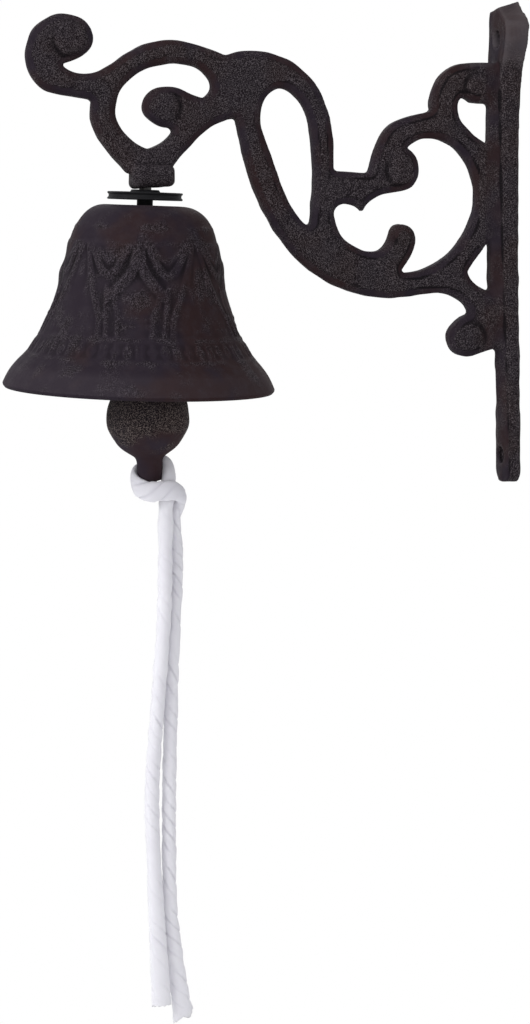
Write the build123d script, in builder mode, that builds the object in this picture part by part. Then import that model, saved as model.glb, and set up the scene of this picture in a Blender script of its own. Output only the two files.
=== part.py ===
"""Cast iron wall bell: a scrollwork bracket, a bell on a bolt, a clapper and its pull rope.

Millimetres, +Z up, +X towards the wall. The origin lies on the wall face, midway between the
two screw holes, and the arm reaches out along -X in the plane Y = 0.
"""
from build123d import *
from math import cos, pi, radians, sin, tan
import os

os.makedirs("parts", exist_ok=True)

# Main sizes: from the wall to the arm's curl, between the screw holes, and across the bell's mouth
arm_reach = 208.8
screw_spacing = 177.0
mouth_diameter = 111.2

# Wall bar and its screw lugs, which end a little past the screws
screw_hole_diameter = 7.5
bar_root = 4.0
lug_thickness = 9.0
bar_top = screw_spacing / 2 - 10.5
bar_bottom = -screw_spacing / 2 - 11.7
bar_end_radius = 6.5
# Height, half width, thickness at the side and thickness at the crest
bar_sections = [
    (bar_top, 8.0, 8.0, 11.2),
    (50.0, 5.4, 7.8, 10.8),
    (0.0, 4.9, 7.4, 10.5),
    (-45.0, 7.0, 6.2, 8.9),
    (bar_bottom, 8.8, 5.6, 6.6),
]
# Upper lug, leaning a little: places across the bar and above the screw, on the wall and in front
lug_back = [
    (-3.6, 16.4), (-17.4, 5.6), (-17.0, 1.4), (-10.5, -11.3), (-6.0, -23.5), (6.0, -23.5), (9.5, -14.0),
    (13.0, -9.5), (14.0, 1.0), (13.0, 11.5),
]
lug_front = [
    (-2.0, 13.2), (-12.8, 6.1), (-12.8, -1.5), (-8.2, -12.5), (-5.6, -22.5), (5.6, -22.5), (8.0, -14.0),
    (11.8, -10.1), (10.1, 0.6), (9.1, 12.5),
]

# Scroll arm, and the reach that its outline below is drawn at
arm_thickness = 8.0
arm_edge = 0.9
eye_height = 0.9
arm_drawn_reach = 208.8

# Boss at the arm's end, the crown's top under it and the bolt's lean
boss_width = 17.5
boss_depth = 16.0
boss_edge_radius = 2.4
boss_rise = 1.3
boss_start = (-166.2, 34.5)
crown_place = (-160.3, 17.7)
hang_tilt = 1.9

# Bell, and the mouth that its outline below is drawn at
mouth_drawn_diameter = 111.2
crown_thickness = 4.6
crown_hole_clearance = 0.45
lip_radius = 1.6
bead_height = 0.6

# Bolt, spool, washer and clapper hanger
bolt_diameter = 5.0
bolt_head_height = 3.5
bolt_head_flats = 8.0
bolt_grip = 12.0
thread_clearance = 0.05
spool_diameter = 31.0
spool_thickness = 3.2
spool_neck_diameter = 6.6
spool_neck_length = 2.2
spool_hub_diameter = 12.5
spool_hub_height = 1.0
spool_groove_depth = 0.6
running_gap = 0.3
washer_diameter = 16.0
washer_thickness = 1.2
strap_thickness = 2.0
strap_width = 9.0
strap_inner_half_width = 5.0
pin_depth = 20.0
pin_diameter = 4.0
pin_clearance = 0.1
pin_overhang = 0.8

# Clapper
clapper_lean = 1.6
clapper_eye_diameter = 11.0
clapper_eye_half_width = 4.5
shank_diameter = 8.0
bulb_drop = 66.9
bulb_radius = 17.1
tail_radius = 5.3
tail_length = 26.0
groove_radius = 2.6
groove_height = 6.2
knob_radius = 3.6
knob_height = 2.0
# Radius and drop below the bulb's centre, from the bulb down to the tail
bulb_foot = [(15.3, 7.4), (11.2, 12.3), (7.2, 15.6), (tail_radius, 19.5)]

# Pull rope
rope_diameter = 5.8
rope_gap = 0.1
knot_radius = 7.2
knot_foot_radius = 0.9
knot_head_radius = 3.5

# Scroll arm outline as seen from the side, corner to corner round the outside
curl = [
    (-182.3, 60.7), (-189.1, 62.0), (-197.9, 63.4), (-205.0, 67.4), (-208.8, 76.0), (-207.7, 86.0),
    (-202.6, 92.5), (-194.9, 95.5), (-187.0, 94.1), (-182.2, 89.2), (-182.4, 82.3), (-187.2, 77.8),
    (-194.6, 75.4),
]
ring_back = [
    (-194.6, 75.4), (-189.3, 71.8), (-180.4, 72.3), (-172.5, 76.9), (-160.7, 83.8), (-147.1, 85.7),
    (-136.0, 83.0), (-127.0, 79.9),
]
neck_back = [(-127.0, 79.9), (-113.5, 81.8), (-100.0, 78.3), (-88.1, 67.6), (-82.2, 53.0), (-80.9, 32.5)]
shelf = [(-80.9, 32.5), (-65.3, 31.5)]
scroll_back = [(-65.3, 31.5), (-62.8, 40.5), (-55.9, 52.0), (-47.0, 55.6), (-38.1, 57.9)]
leaf = [(-38.1, 57.9), (-37.6, 66.0), (-31.0, 75.4), (-21.8, 78.3), (-bar_root, 77.8)]
bar_line = [(-bar_root, 77.8), (-bar_root, -45.6)]
ball = [
    (-bar_root, -45.6), (-12.0, -43.5), (-18.5, -45.8), (-26.3, -45.4), (-30.7, -37.4), (-27.2, -31.6),
    (-20.8, -28.4),
]
lower_sweep = [
    (-20.8, -28.4), (-24.6, -22.8), (-33.0, -19.4), (-51.3, -20.9), (-70.4, -19.1), (-87.7, -11.4),
    (-101.4, 1.3), (-111.3, 16.9), (-118.4, 36.0), (-122.2, 54.1),
]
limb = [(-122.2, 54.1), (-130.5, 51.5), (-141.0, 43.0), (-148.9, 34.2)]
boss_line = [(-148.9, 34.2), (-167.9, 31.0)]
ring_outside = [(-167.9, 31.0), (-172.9, 37.0), (-180.0, 46.2), (-182.3, 60.7)]
arm_outline = [
    curl, ring_back, neck_back, shelf, scroll_back, leaf, bar_line, ball, lower_sweep, limb, boss_line,
    ring_outside,
]

# Its openings, corner to corner: the ring, with the small curl that grows into it
ring_opening = [
    [
        (-136.6, 61.8), (-132.7, 67.5), (-138.0, 74.1), (-150.2, 75.9), (-162.5, 72.4), (-171.0, 64.0),
        (-172.2, 53.0), (-167.3, 45.6), (-159.6, 41.0),
    ],
    [(-159.6, 41.0), (-153.2, 43.8), (-148.2, 50.0)],
    [
        (-148.2, 50.0), (-156.2, 51.4), (-161.5, 58.0), (-158.0, 64.8), (-150.6, 66.8), (-143.2, 64.6),
        (-136.6, 61.8),
    ],
]
# The long drop in the neck
drop_opening = [
    [
        (-90.6, 9.6), (-89.4, 25.3), (-90.4, 47.0), (-95.9, 62.3), (-104.1, 66.5), (-111.4, 59.5),
        (-108.0, 40.0), (-100.4, 20.1), (-93.0, 10.0),
    ],
    [(-93.0, 10.0), (-90.6, 9.6)],
]
# The middle, round the lobed scroll end and the small curl below it
middle_opening = [
    [
        (-49.2, 42.1), (-41.1, 46.0), (-31.3, 44.5), (-22.3, 36.0), (-18.4, 22.5), (-21.2, 9.5),
        (-28.8, -1.3), (-39.0, -8.3), (-51.9, -10.4),
    ],
    [
        (-51.9, -10.4), (-47.2, -3.4), (-45.0, 3.0), (-48.2, 9.4), (-54.2, 9.4), (-56.6, 4.0),
        (-60.6, -0.9), (-68.1, -0.7), (-76.5, 4.1), (-80.2, 12.4),
    ],
    [(-80.2, 12.4), (-78.6, 18.0), (-73.4, 18.4), (-68.2, 14.9)],
    [(-68.2, 14.9), (-61.1, 21.9), (-54.0, 23.5), (-46.4, 26.0), (-43.8, 33.4), (-49.2, 42.1)],
]
# Two gaps against the wall bar
leaf_opening = [
    [(-20.4, 61.6), (-25.4, 62.9), (-26.6, 57.6), (-20.9, 49.2), (-12.8, 42.8)],
    [(-12.8, 42.8), (-12.8, 61.0)],
    [(-12.8, 61.0), (-20.4, 61.6)],
]
foot_opening = [
    [(-12.2, 3.2), (-16.5, -2.0), (-22.2, -10.3)],
    [(-22.2, -10.3), (-17.8, -16.0), (-11.6, -18.6)],
    [(-11.6, -18.6), (-12.2, 3.2)],
]
arm_openings = [ring_opening, drop_opening, middle_opening, leaf_opening, foot_opening]

# Curl eyes: place and radius
eyes = [
    (-191.0, 85.4, 6.2), (-152.6, 58.6, 6.0), (-51.2, 32.6, 6.0), (-51.0, 6.2, 3.6),
    (-20.8, -38.4, 5.6), (-17.5, 67.8, 5.6),
]

# Bell outline from the crown's edge to the lip, in spans with a raised line between each two
bell_spans = [
    [(19.0, 0), (24.6, -3.3), (27.8, -7.8)],
    [(28.4, -9.1), (29.4, -11.7), (30.2, -14.1)],
    [(30.6, -15.5), (32.3, -23.2), (34.5, -33.0), (37.5, -42.8), (41.4, -52.0)],
    [(42.1, -53.3), (44.4, -57.0), (46.9, -60.5)],
    [(47.9, -61.7), (52.9, -68.0), (55.6, -73.5)],
]
bell_inside = [
    (49.0, -67.9), (43.4, -60.6), (37.7, -52.6), (33.5, -42.8), (30.5, -33.0), (28.3, -23.2),
    (26.4, -14.7), (23.4, -8.6),
]

# Rope tails, measured from the crown's top, each from the knot's underside down
knot_side = (9.9, -0.1)
knot_rise = 109.7
knot_drop = 122.3
left_tail = [
    (7.9, -2.5, -knot_drop), (7.9, -2.5, -142.7), (7.6, -2.3, -167.7), (5.7, -2.0, -193.7),
    (3.8, -1.6, -217.7), (2.1, -1.2, -243.7), (3.3, -0.9, -267.7), (4.6, -1.0, -291.7),
    (5.9, -1.3, -311.7), (7.3, -1.6, -327.1),
]
right_tail = [
    (12.0, 2.3, -knot_drop), (12.0, 2.3, -132.7), (13.7, 2.5, -148.7), (12.0, 2.6, -171.7),
    (11.1, 2.2, -195.7), (10.5, 1.6, -219.7), (9.7, 1.2, -243.7), (10.2, 0.8, -267.7),
    (10.8, 0.6, -291.7), (13.0, 0.4, -312.7), (15.9, 0.2, -332.0),
]

# The arm and what hangs on it follow the reach, and the bell follows its mouth
arm_scale = arm_reach / arm_drawn_reach
bell_scale = mouth_diameter / mouth_drawn_diameter


def on_arm(x, z):
    """Place on the arm, at the reach asked for."""
    return x * arm_scale, z * arm_scale


def on_bell(radius, height):
    """Place in the bell's section, at the mouth asked for."""
    return radius * bell_scale, height * bell_scale


# Frames: the bell hangs on a bolt that leans a little, and the clapper hangs from its pin
crown_x, crown_z = on_arm(*crown_place)
lean_x = sin(radians(hang_tilt))
lean_z = cos(radians(hang_tilt))
hang_axis = Vector(lean_x, 0, lean_z)
crown_point = Vector(crown_x, 0, crown_z)


def hang_plane(height):
    """Plane square to the bolt, this far above the crown's top."""
    return Plane(crown_point + hang_axis * height, x_dir=(lean_z, 0, -lean_x), z_dir=hang_axis)


hang_section = Plane(crown_point, x_dir=(lean_z, 0, -lean_x), z_dir=(0, -1, 0))
hang_line = Axis(crown_point, hang_axis)
pin_point = crown_point - hang_axis * pin_depth
clapper_axis = Vector(-sin(radians(clapper_lean)), 0, cos(radians(clapper_lean)))
clapper_section = Plane(pin_point, x_dir=(clapper_axis.Z, 0, -clapper_axis.X), z_dir=(0, -1, 0))
clapper_line = Axis(pin_point, clapper_axis)

# Heights along the bolt, measured from the crown's top
flange_bottom = running_gap + spool_neck_length
flange_top = flange_bottom + spool_thickness
spool_top = flange_top + spool_hub_height
spool_bore = bolt_diameter / 2 + thread_clearance
bolt_top = spool_top + bolt_grip
washer_top = crown_thickness + running_gap
strap_top = washer_top + washer_thickness + running_gap
head_top = strap_top + strap_thickness + running_gap

# Boss, with its underside just above the spool
boss_left, boss_top = on_arm(*boss_start)
boss_right = boss_left + boss_width
boss_bottom = crown_z + spool_top * lean_z + spool_hub_diameter / 2 * lean_x + 0.05

# Bell section
crown_hole = bolt_diameter / 2 + crown_hole_clearance
lip_side = on_bell(*bell_spans[-1][-1])
lip_bottom = (lip_side[0] - lip_radius, lip_side[1] - lip_radius)
lip_inner = (lip_side[0] - 2 * lip_radius, lip_side[1] - 0.4)
inner_top = (17.0 * bell_scale, -crown_thickness)

# Strap and pin
strap_outer = strap_inner_half_width + strap_thickness
strap_foot = pin_depth + strap_width / 2
strap_section = Plane(crown_point, x_dir=(0, 1, 0), z_dir=(lean_z, 0, -lean_x))
pin_plane = Plane(pin_point, x_dir=(1, 0, 0), z_dir=(0, -1, 0))

# Clapper profile, measured down from its pin
shank_radius = shank_diameter / 2
bulb_top = (shank_radius, -bulb_drop + (bulb_radius**2 - shank_radius**2) ** 0.5)
bulb_shoulder = (bulb_radius * sin(radians(45)), -bulb_drop + bulb_radius * cos(radians(45)))
bulb_side = (bulb_radius, -bulb_drop)
bulb_foot_line = [(radius, -bulb_drop - drop) for radius, drop in bulb_foot]
tail_end = bulb_drop + tail_length
knob_top = tail_end + groove_height
rope_turn = tail_end + groove_height / 2

# Rope, placed from the crown's top
knot_centre = (crown_x + knot_side[0], knot_side[1])
knot_top = crown_z - knot_rise
knot_bottom = crown_z - knot_drop
left_route = [crown_point + Vector(*point) for point in left_tail]
right_route = [crown_point + Vector(*point) for point in right_tail]

# Boss for the bolt, its underside a little higher towards the wall
with BuildPart() as boss:
    with BuildSketch(Plane.XZ):
        with BuildLine():
            Polyline(
                (boss_left, boss_bottom), (boss_right, boss_bottom + boss_rise),
                (boss_right, boss_top), (boss_left, boss_top), close=True,
            )
        make_face()
    extrude(amount=boss_depth / 2, both=True)
    fillet(boss.edges(), boss_edge_radius)

# Bracket: arm, boss, wall bar and lug in one casting
with BuildPart() as bracket:
    with BuildSketch(Plane.XZ):
        for outline in (arm_outline, *arm_openings):
            with BuildLine():
                for span in outline:
                    corners = [on_arm(*point) for point in span]
                    if len(corners) == 2:
                        Line(*corners)
                    else:
                        Spline(*corners)
            make_face(mode=Mode.ADD if outline is arm_outline else Mode.SUBTRACT)
    extrude(amount=arm_thickness / 2, both=True)
    chamfer(bracket.faces().filter_by(Axis.Y).edges(), arm_edge)
    # Raised eyes of the curls, on both faces
    with BuildSketch(Plane.XZ):
        for eye_x, eye_z, eye_radius in eyes:
            with Locations(on_arm(eye_x, eye_z)):
                Circle(eye_radius)
    extrude(amount=arm_thickness / 2 + eye_height, both=True)
    add(boss.part)
    # Wall bar, with a ridge down its front and a rounded foot
    for height, half_width, side, crest in bar_sections:
        with BuildSketch(Plane.XY.offset(height)):
            with BuildLine():
                Polyline(
                    (0, -half_width), (-side, -half_width), (-crest, 0), (-side, half_width),
                    (0, half_width), close=True,
                )
            make_face()
    loft(ruled=True)
    foot_edges = bracket.edges().filter_by(Axis.X).group_by(Axis.Z)[0]
    fillet(foot_edges, bar_end_radius)
    # Spade-shaped upper lug, narrower at its front
    for offset, lug_outline in ((0, lug_back), (-lug_thickness, lug_front)):
        with BuildSketch(Plane.YZ.offset(offset)):
            with BuildLine():
                lug_corners = [(across, screw_spacing / 2 + above) for across, above in lug_outline]
                Polyline(*lug_corners, close=True)
            make_face()
    loft(ruled=True)
    # Two screw holes
    with BuildSketch(Plane.YZ):
        with Locations((0, screw_spacing / 2), (0, -screw_spacing / 2)):
            Circle(screw_hole_diameter / 2)
    extrude(amount=-2 * lug_thickness, mode=Mode.SUBTRACT)
    # Threaded hole for the bolt
    with BuildSketch(hang_plane(0)):
        Circle(bolt_diameter / 2 + thread_clearance)
    extrude(amount=bolt_top + running_gap, mode=Mode.SUBTRACT)
bracket.part.label = "bracket"


def bead_crest(top, foot):
    """Crest of the raised line between two points of the outline, midway and outwards."""
    run = Vector(foot[0] - top[0], foot[1] - top[1])
    return ((top[0] + foot[0]) / 2 - run.Y / run.length * bead_height,
            (top[1] + foot[1]) / 2 + run.X / run.length * bead_height)


# Bell, turned about the bolt's axis: radius and height below the crown's top
with BuildPart() as bell:
    with BuildSketch(hang_section):
        with BuildLine():
            Line((crown_hole, 0), on_bell(*bell_spans[0][0]))
            for span in bell_spans:
                Spline(*[on_bell(*point) for point in span])
            for above, below in zip(bell_spans, bell_spans[1:]):
                bead_top = on_bell(*above[-1])
                bead_foot = on_bell(*below[0])
                ThreePointArc(bead_top, bead_crest(bead_top, bead_foot), bead_foot)
            ThreePointArc(lip_side, lip_bottom, lip_inner)
            inside = [on_bell(*point) for point in bell_inside]
            Spline(lip_inner, *inside, inner_top, tangents=((-0.3, 1), (-1, 0)))
            Line(inner_top, (crown_hole, -crown_thickness))
            Line((crown_hole, -crown_thickness), (crown_hole, 0))
        make_face()
    revolve(axis=hang_line)
bell.part.label = "bell"

# Grooved spool between boss and bell
with BuildPart() as spool:
    with BuildSketch(hang_section):
        with BuildLine():
            Polyline(
                (spool_bore, flange_top + spool_hub_height), (spool_bore, running_gap),
                (spool_neck_diameter / 2, running_gap), (spool_neck_diameter / 2, flange_bottom),
                (spool_diameter / 2, flange_bottom),
            )
            ThreePointArc(
                (spool_diameter / 2, flange_bottom),
                (spool_diameter / 2 - spool_groove_depth, (flange_bottom + flange_top) / 2),
                (spool_diameter / 2, flange_top),
            )
            Polyline(
                (spool_diameter / 2, flange_top), (spool_hub_diameter / 2, flange_top),
                (spool_hub_diameter / 2 - 0.6, flange_top + spool_hub_height),
                (spool_bore, flange_top + spool_hub_height),
            )
        make_face()
    revolve(axis=hang_line)
spool.part.label = "spool"

# Hexagon-headed bolt, screwed up into the boss from inside the bell
with BuildPart() as hanger_bolt:
    with BuildSketch(hang_plane(-head_top - bolt_head_height)):
        RegularPolygon(radius=bolt_head_flats / 2, side_count=6, major_radius=False)
    extrude(amount=bolt_head_height)
    with BuildSketch(hang_plane(-head_top)):
        Circle(bolt_diameter / 2)
    extrude(amount=head_top + bolt_top)
hanger_bolt.part.label = "hanger_bolt"

# Washer under the crown
with BuildPart() as crown_washer:
    with BuildSketch(hang_plane(-washer_top - washer_thickness)):
        Circle(washer_diameter / 2)
        Circle(bolt_diameter / 2 + running_gap / 2, mode=Mode.SUBTRACT)
    extrude(amount=washer_thickness)
crown_washer.part.label = "crown_washer"

# Bent strap that turns on the bolt and carries the clapper's pin
with BuildPart() as clapper_strap:
    with BuildSketch(strap_section):
        with BuildLine():
            Polyline(
                (-strap_outer, -strap_top), (strap_outer, -strap_top),
                (strap_outer, -strap_foot), (strap_inner_half_width, -strap_foot),
                (strap_inner_half_width, -strap_top - strap_thickness),
                (-strap_inner_half_width, -strap_top - strap_thickness),
                (-strap_inner_half_width, -strap_foot), (-strap_outer, -strap_foot), close=True,
            )
        make_face()
    extrude(amount=strap_width / 2, both=True)
    leg_corners = clapper_strap.edges().filter_by(Axis.Y).group_by(Axis.Z)[0:2]
    fillet(leg_corners[0] + leg_corners[1], strap_width / 2 - 0.1)
    bend_edges = clapper_strap.edges().filter_by(Axis(crown_point, hang_plane(0).x_dir))
    fillet(bend_edges.group_by(Axis.Z)[-1], strap_thickness)
    with BuildSketch(hang_plane(-strap_top - strap_thickness)):
        Circle(bolt_diameter / 2 + running_gap)
    extrude(amount=strap_thickness, mode=Mode.SUBTRACT)
    with BuildSketch(pin_plane):
        Circle(pin_diameter / 2)
    extrude(amount=strap_outer, both=True, mode=Mode.SUBTRACT)
clapper_strap.part.label = "clapper_strap"

# Pin with peened ends
with BuildPart() as clapper_pin:
    with BuildSketch(pin_plane):
        Circle(pin_diameter / 2)
    extrude(amount=strap_outer, both=True)
    for side in (-1, 1):
        with BuildSketch(pin_plane.offset(side * strap_outer)):
            Circle(pin_diameter / 2 + pin_overhang)
        extrude(amount=side * pin_overhang)
clapper_pin.part.label = "clapper_pin"

# Clapper: eye, shank, bulb and tail, with a neck at its end for the rope
with BuildPart() as clapper:
    with BuildSketch(clapper_section):
        with BuildLine():
            Polyline((0, -clapper_eye_diameter / 4), (shank_radius, -clapper_eye_diameter / 4), bulb_top)
            ThreePointArc(bulb_top, bulb_shoulder, bulb_side)
            Spline(bulb_side, *bulb_foot_line, tangents=((0, -1), (0, -1)))
            Polyline(
                bulb_foot_line[-1], (tail_radius, -tail_end + 0.6),
                (tail_radius - 0.6, -tail_end), (groove_radius, -tail_end),
                (groove_radius, -knob_top), (knob_radius, -knob_top),
                (knob_radius, -knob_top - knob_height + 0.6),
                (knob_radius - 0.6, -knob_top - knob_height), (0, -knob_top - knob_height),
                (0, -clapper_eye_diameter / 4),
            )
        make_face()
    revolve(axis=clapper_line)
    with BuildSketch(pin_plane):
        Circle(clapper_eye_diameter / 2)
    extrude(amount=clapper_eye_half_width, both=True)
    with BuildSketch(pin_plane):
        Circle(pin_diameter / 2 + pin_clearance)
    extrude(amount=2 * clapper_eye_half_width, both=True, mode=Mode.SUBTRACT)
clapper.part.label = "clapper"

# Knot of the pull rope: the crossing beside the clapper's neck and a turn round the neck
with BuildPart() as knot_lump:
    with BuildSketch(Plane.XY.offset(knot_bottom)):
        with Locations(knot_centre):
            Circle(knot_radius)
    extrude(amount=knot_top - knot_bottom)
    fillet(knot_lump.edges().sort_by(Axis.Z)[-1], knot_head_radius)
    fillet(knot_lump.edges().sort_by(Axis.Z)[0], knot_foot_radius)
with BuildPart() as rope_knot:
    with BuildSketch(clapper_section):
        with Locations((groove_radius + rope_gap + rope_diameter / 2, -rope_turn)):
            Circle(rope_diameter / 2)
    revolve(axis=clapper_line)
    add(knot_lump.part)
    with BuildSketch(clapper_section):
        with BuildLine():
            Polyline(
                (0, -bulb_drop), (tail_radius + rope_gap, -bulb_drop),
                (tail_radius + rope_gap, -tail_end - rope_gap), (groove_radius + rope_gap, -tail_end - rope_gap),
                (groove_radius + rope_gap, -knob_top + rope_gap),
                (knob_radius + rope_gap, -knob_top + rope_gap),
                (knob_radius + rope_gap, -knob_top - knob_height - rope_gap),
                (0, -knob_top - knob_height - rope_gap), close=True,
            )
        make_face()
    revolve(axis=clapper_line, mode=Mode.SUBTRACT)
rope_knot.part.label = "rope_knot"


def route_radii(points):
    """One bend radius for each inner point: 0.45 of its shorter run over the tangent of half its turn."""
    radii = []
    for before, here, after in zip(points, points[1:], points[2:]):
        run_in = here - before
        run_out = after - here
        half_turn = radians(run_in.get_angle(run_out)) / 2
        radii.append(0.45 * min(run_in.length, run_out.length) / tan(half_turn))
    return radii


# Two hanging tails of the rope
rope_tails = []
for name, route in (("rope_tail_left", left_route), ("rope_tail_right", right_route)):
    radii = route_radii(route)
    with BuildPart() as rope_tail:
        with BuildLine() as tail_path:
            FilletPolyline(*route, radius=radii)
        with BuildSketch(Plane(tail_path.line @ 0, z_dir=tail_path.line % 0)):
            Circle(rope_diameter / 2)
        sweep()
    rope_tail.part.label = name
    rope_tails.append(rope_tail)
    length = tail_path.wire().length
    print(name, "length", round(length, 1), "radii", [round(r) for r in radii])
    print(name, "volume ratio", round(rope_tail.part.volume / (pi * rope_diameter**2 / 4 * length), 4))

pieces = [
    bracket, bell, spool, hanger_bolt, crown_washer, clapper_strap, clapper_pin, clapper, rope_knot,
    *rope_tails,
]
for piece in pieces:
    print(piece.part.label, len(piece.part.solids()), round(piece.part.volume), piece.part.is_valid)
    export_step(piece.part, f"parts/{piece.part.label}.step")
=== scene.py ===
# %% [markdown]
# # A cast iron wall bell
#
# This file dresses a bell that hangs on a scroll bracket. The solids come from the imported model, in metres:
# +X points into the wall, +Z is up, and the arm lies in the plane Y = 0. Here each piece gets its real
# surface: sand-cast iron for bracket, bell and clapper, dull rubber for the spool, and cotton for the rope.

# %% Load the frame
from functools import cached_property

import bmesh
import bpy
import numpy as np
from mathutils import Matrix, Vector


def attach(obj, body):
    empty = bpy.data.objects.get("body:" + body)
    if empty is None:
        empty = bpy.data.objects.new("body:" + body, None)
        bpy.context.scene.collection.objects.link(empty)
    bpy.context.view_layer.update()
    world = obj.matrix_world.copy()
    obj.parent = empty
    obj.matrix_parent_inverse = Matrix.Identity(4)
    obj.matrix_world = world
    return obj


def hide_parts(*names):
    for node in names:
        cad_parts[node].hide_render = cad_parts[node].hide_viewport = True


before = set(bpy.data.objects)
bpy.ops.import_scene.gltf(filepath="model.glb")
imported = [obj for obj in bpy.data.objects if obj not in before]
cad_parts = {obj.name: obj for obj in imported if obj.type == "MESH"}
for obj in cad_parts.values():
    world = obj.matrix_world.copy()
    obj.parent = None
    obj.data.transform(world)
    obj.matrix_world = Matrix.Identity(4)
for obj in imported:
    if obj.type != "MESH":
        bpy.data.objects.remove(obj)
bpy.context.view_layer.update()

# %% [markdown]
# ## Camera
#
# The picture was taken a little from the free end of the arm and from just above the bell. The bar's edges
# stay upright in it, as they do when a lens is shifted down instead of tipped. A shift also moves every other
# view, so the last part of the drop is a small tip, which bends the bar's edges by a pixel or two only.

# %% Camera
image_height = 1024
focal_pixels = 2050.0
eye = np.array((-0.3013, -0.8298, 0.0202))
view_angle = np.radians(13.0)
horizon_row = 200.0
lens_shift = -0.25
tip = np.arctan((image_height / 2 + lens_shift * image_height - horizon_row) / focal_pixels)

camera_data = bpy.data.cameras.new("camera")
camera_data.sensor_width = 36.0
camera_data.lens = camera_data.sensor_width * focal_pixels / image_height
camera_data.shift_y = lens_shift
camera_data.clip_end = 20.0
camera = bpy.data.objects.new("camera", camera_data)
bpy.context.scene.collection.objects.link(camera)
look = Vector((np.sin(view_angle) * np.cos(tip), np.cos(view_angle) * np.cos(tip), -np.sin(tip)))
camera.location = eye
camera.rotation_euler = look.to_track_quat("-Z", "Y").to_euler()
bpy.context.scene.camera = camera
bpy.context.scene.view_settings.view_transform = "Standard"
print("lens", round(camera_data.lens, 1), "mm, tipped", round(float(np.degrees(tip)), 2), "degrees")

# %% [markdown]
# ## Surfaces from grids of points
#
# Bell, spool and rope are grids: one parameter runs along the piece and one across or round it. The grid's
# points are worked out as one array, and neighbours in it become faces. Rings of a tube or a turned piece
# close on themselves, and the ends of a tube get one flat face each.

# %% Grid to mesh
def add_object(name, mesh, material):
    """Object at the origin that shows this mesh in this material, smooth all over."""
    obj = bpy.data.objects.new(name, mesh)
    bpy.context.scene.collection.objects.link(obj)
    mesh.polygons.foreach_set("use_smooth", np.ones(len(mesh.polygons), dtype=bool))
    mesh.materials.append(material)
    return obj


def grid_faces(rows, columns, round_rows, round_columns):
    """Faces of a grid: each point with its right, its right lower and its lower neighbour.

    A round direction joins its last line of points to its first.
    """
    index = np.arange(rows * columns).reshape(rows, columns)
    if round_columns:
        index = np.concatenate([index, index[:, :1]], axis=1)
    if round_rows:
        index = np.concatenate([index, index[:1]], axis=0)
    corners = [index[:-1, :-1], index[:-1, 1:], index[1:, 1:], index[1:, :-1]]
    return np.stack(corners, axis=-1).reshape(-1, 4)


def grid_mesh(name, points, round_rows=False, round_columns=False, capped=False):
    """Closed or open mesh of a grid of points, with its faces turned outwards."""
    rows, columns = points.shape[:2]
    faces = grid_faces(rows, columns, round_rows, round_columns).tolist()
    if capped:
        faces.append(list(range(columns)))
        faces.append(list(range((rows - 1) * columns, rows * columns)))
    mesh = bpy.data.meshes.new(name)
    mesh.from_pydata(points.reshape(-1, 3), [], faces)
    shell = bmesh.new()
    shell.from_mesh(mesh)
    bmesh.ops.recalc_face_normals(shell, faces=shell.faces)
    shell.to_mesh(mesh)
    shell.free()
    return mesh


def ramp(values, start, end):
    """0 before start, 1 after end, and in even steps between. It falls where end is less than start."""
    return np.clip((values - start) / (end - start), 0, 1)


def full_turn(count):
    """This many angles evenly round a circle."""
    return np.linspace(0, 2 * np.pi, count, endpoint=False)


print("grid helpers ready")

# %% [markdown]
# ## The rope's route
#
# One white cotton cord is tied round the clapper's tail with a half knot, and its two halves hang down side
# by side. A rope is a fixed length of something limp, so its line comes first and its look later. The control
# points below are the tails of the CAD model, measured from the crown of the bell, with the turns of the knot
# put before them: each half starts behind the clapper, comes round its own side, and crosses the other half.
# A NURBS spline makes one smooth line of them, as a hanging cord has.

# %% Rope routes
crown = np.array((-0.1603, 0.0, 0.0177))
rope_diameter = 0.0058
rope_step = 0.00045

left_half = 0.001 * np.array([
    (6.6, 8.2, -109.4), (1.6, 8.0, -109.6), (-3.2, 5.2, -111.0), (-4.5, 0.6, -113.4), (-2.6, -4.6, -116.0),
    (2.2, -7.8, -116.7), (7.4, -8.2, -115.9), (11.6, -6.8, -116.5), (14.8, -3.2, -119.0),
    (14.8, 1.0, -122.0), (13.0, 3.0, -126.8), (12.4, 3.0, -133.0), (13.8, 2.6, -148.7),
    (12.2, 2.5, -171.7), (11.3, 2.2, -195.7), (10.6, 1.6, -219.7), (10.0, 1.2, -243.7),
    (10.0, 1.4, -267.7), (10.3, 1.6, -291.7), (12.2, 1.6, -312.7), (16.0, 1.2, -337.5),
])
right_half = 0.001 * np.array([
    (3.0, 8.0, -106.0), (6.6, 6.6, -105.4), (9.6, 3.0, -106.8), (9.7, -0.8, -110.6),
    (9.0, -2.8, -114.6), (8.8, -2.8, -118.8), (7.9, -3.6, -123.0), (7.9, -3.2, -131.0),
    (7.9, -2.5, -145.7), (7.6, -2.3, -167.7), (5.7, -2.0, -193.7), (3.8, -1.6, -217.7),
    (2.1, -1.2, -243.7), (3.0, -1.4, -267.7), (4.1, -1.7, -291.7), (5.2, -2.0, -311.7), (6.2, -2.0, -330.4),
])


def spline_line(name, points):
    """Points along the NURBS spline that has these control points, about a third of a millimetre apart."""
    curve = bpy.data.curves.new(name, "CURVE")
    curve.dimensions = "3D"
    curve.resolution_u = 48
    spline = curve.splines.new("NURBS")
    spline.points.add(len(points) - 1)
    spline.points.foreach_set("co", np.column_stack([points, np.ones(len(points))]).ravel())
    spline.order_u = 3
    spline.use_endpoint_u = True
    holder = bpy.data.objects.new(name, curve)
    line_mesh = bpy.data.meshes.new_from_object(holder)
    line = np.empty(3 * len(line_mesh.vertices))
    line_mesh.vertices.foreach_get("co", line)
    bpy.data.objects.remove(holder)
    bpy.data.meshes.remove(line_mesh)
    return line.reshape(-1, 3)


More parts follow.
